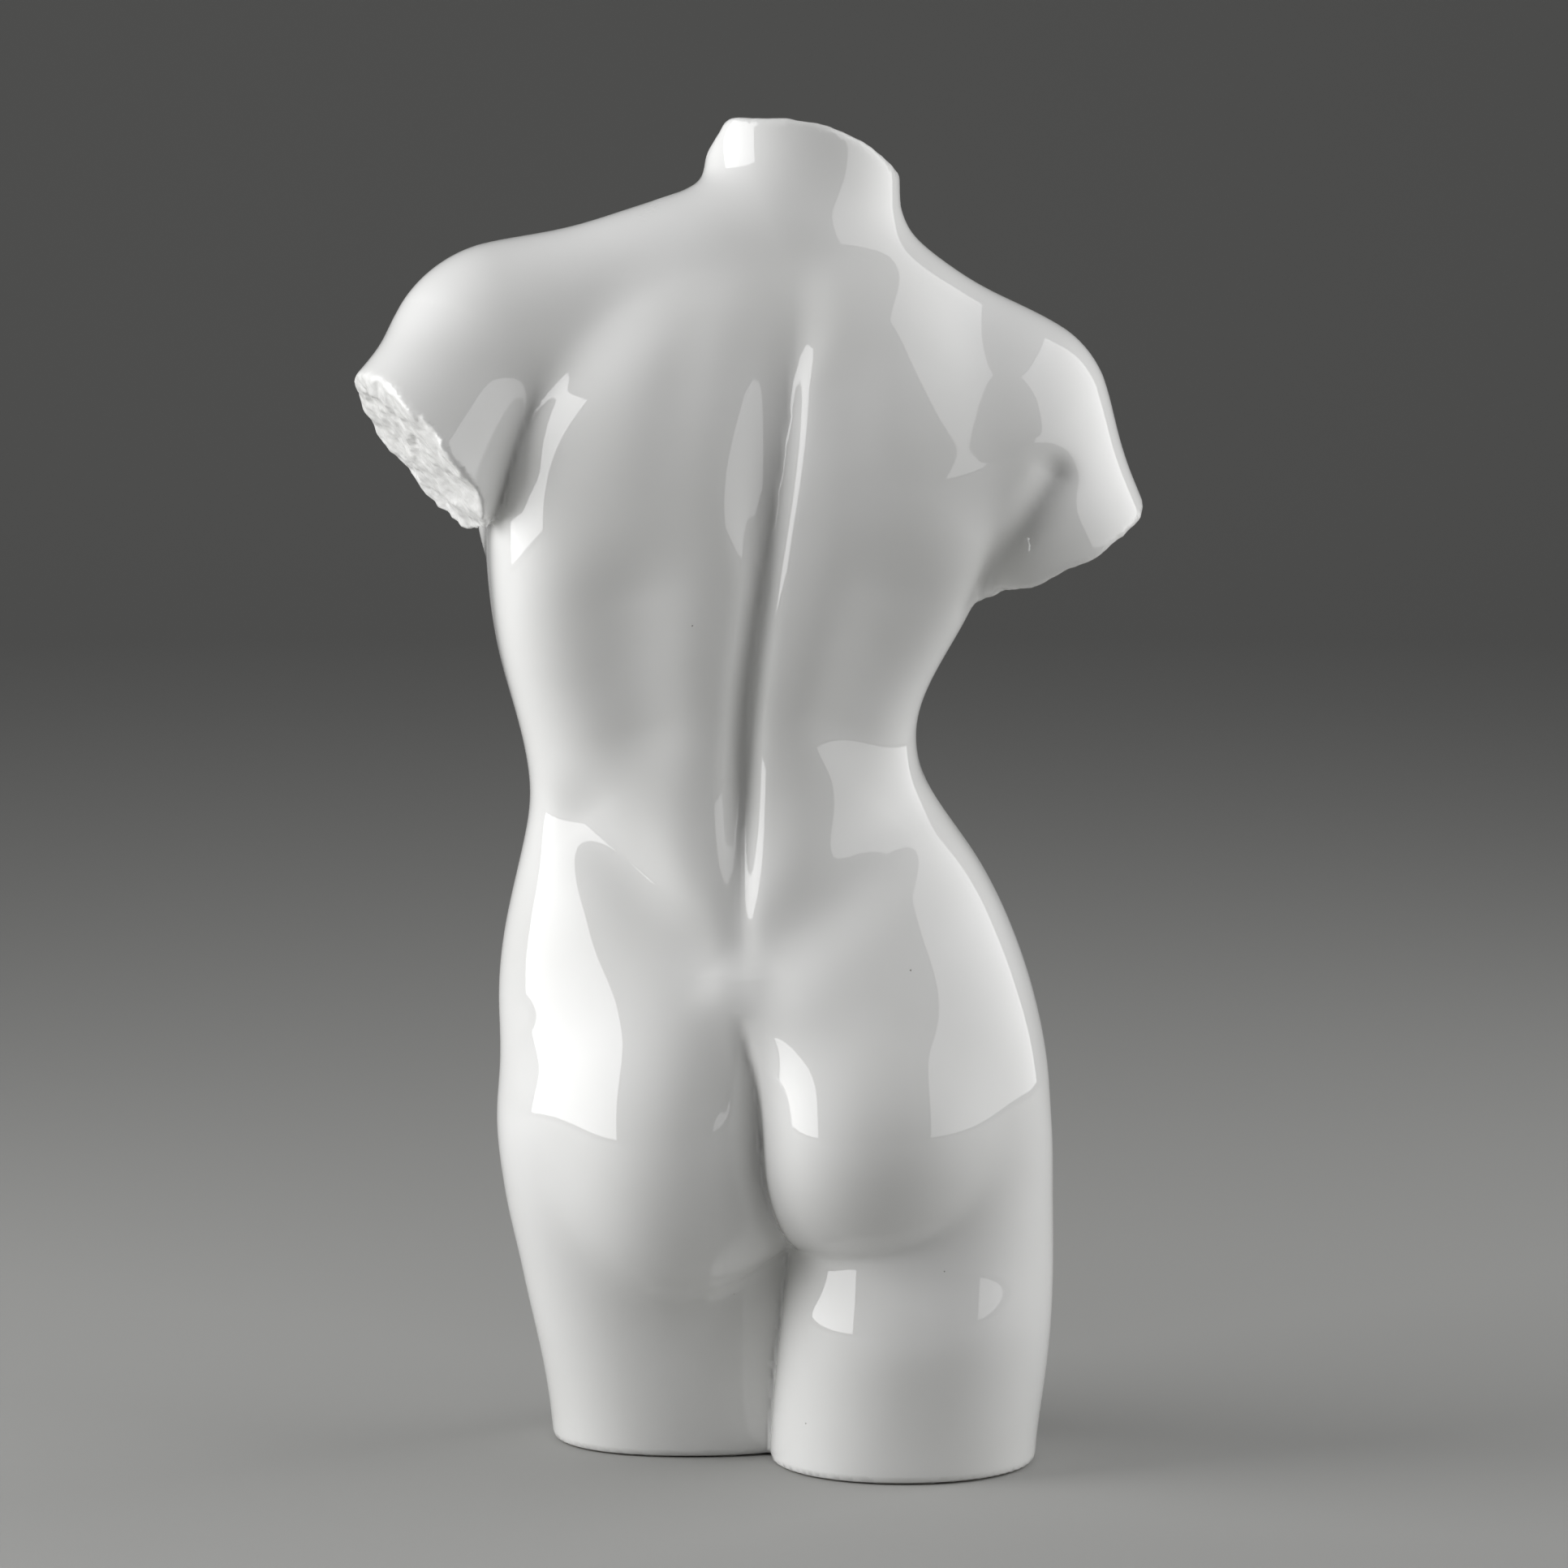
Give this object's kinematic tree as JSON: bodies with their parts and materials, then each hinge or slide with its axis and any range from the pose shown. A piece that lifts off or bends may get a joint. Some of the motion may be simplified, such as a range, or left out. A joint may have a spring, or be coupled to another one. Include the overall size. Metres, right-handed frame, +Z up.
{
  "type": "female torso sculpture",
  "caption": "Free-standing glazed ceramic female torso, broken at the neck and both upper arms and cut flat through the thighs, with a deep spine groove and a turned, one-legged stance.",
  "frame": {"origin": "on the flat base at the middle of the stance, where the thighs meet", "axes": "+Z up, +Y towards the figure's back, +X towards the figure's left side"},
  "size_m": [0.1721, 0.1043, 0.2996],
  "materials": {
    "glaze": "gloss"
  },
  "bodies": {
    "root": {"torso": "glaze"}
  },
  "joints": []
}
